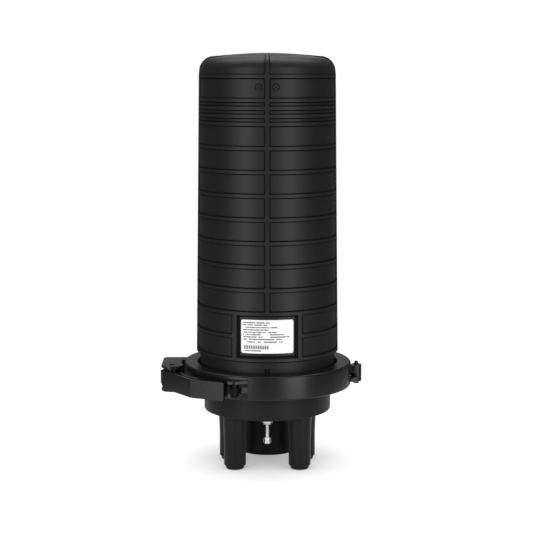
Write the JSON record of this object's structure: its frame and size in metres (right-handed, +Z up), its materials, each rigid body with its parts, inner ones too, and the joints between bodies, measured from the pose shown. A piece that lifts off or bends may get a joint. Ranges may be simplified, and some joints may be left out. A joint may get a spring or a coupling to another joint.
{
  "type": "dome splice closure",
  "caption": "Upright ribbed dome on a ported base, held by a hinged clamp ring with a toggle latch; splice trays inside.",
  "frame": {"origin": "on the dome's axis, in the plane of the port ends that the closure stands on", "axes": "+Z up the dome's axis, -Y towards the label, -X towards the latch, +X towards the ring hinge"},
  "size_m": [0.2176, 0.1864, 0.443],
  "materials": {
    "black_moulding": "satin, fine moulded grain",
    "tray_plastic": "smooth moulded",
    "seal_rubber": "matt",
    "comb_rubber": "matt",
    "dark_pin": "blackened",
    "label_film": "white film, satin",
    "plated_steel": "bright zinc",
    "clear_cover": "clear",
    "strap_fabric": "woven loop"
  },
  "bodies": {
    "closure": {"dome": "black_moulding", "base": "black_moulding", "seal_ring": "seal_rubber", "clamp_rear_half": "black_moulding", "hinge_pin": "dark_pin", "lever_pivot_pins": "dark_pin", "label": "label_film", "earth_stud": "plated_steel", "earth_flange_nut": "plated_steel", "earth_cap_nut": "plated_steel", "earth_inner_nut": "plated_steel", "tray_frame": "plated_steel", "frame_screws": "plated_steel", "tray_holder": "black_moulding", "splice_tray_1": "tray_plastic", "splice_tray_2": "tray_plastic", "splice_tray_3": "tray_plastic", "splice_tray_4": "tray_plastic", "splice_holders": "comb_rubber", "tray_cover": "clear_cover", "tray_strap": "strap_fabric", "cable_clamp_blocks": "plated_steel", "cable_clamp_caps": "plated_steel", "cable_clamp_screws": "plated_steel"},
    "front_half": {"clamp_front_half": "black_moulding"},
    "lever": {"latch_lever": "black_moulding", "link_pin": "dark_pin"},
    "link": {"latch_link": "black_moulding", "catch_pin": "dark_pin"}
  },
  "joints": [
    {"name": "lever_swing", "type": "hinge", "parent": "closure", "child": "lever", "pos_m": [-0.10247, -0.02593, 0.0952], "axis": [0, 0, 1], "range_deg": [-150, 0]},
    {"name": "link_swing", "type": "hinge", "parent": "lever", "child": "link", "pos_m": [-0.10735, -0.02244, 0.0952], "axis": [0, 0, 1], "range_deg": [0, 131]},
    {"name": "front_half_swing", "type": "hinge", "parent": "closure", "child": "front_half", "pos_m": [0.0973, 0, 0.0977], "axis": [0, 0, 1], "range_deg": [0, 1.25]}
  ],
  "couplings": [
    {"joint": "link_swing", "follows": "lever_swing", "ratio": -0.86667},
    {"joint": "front_half_swing", "follows": "lever_swing", "ratio": -0.008}
  ]
}
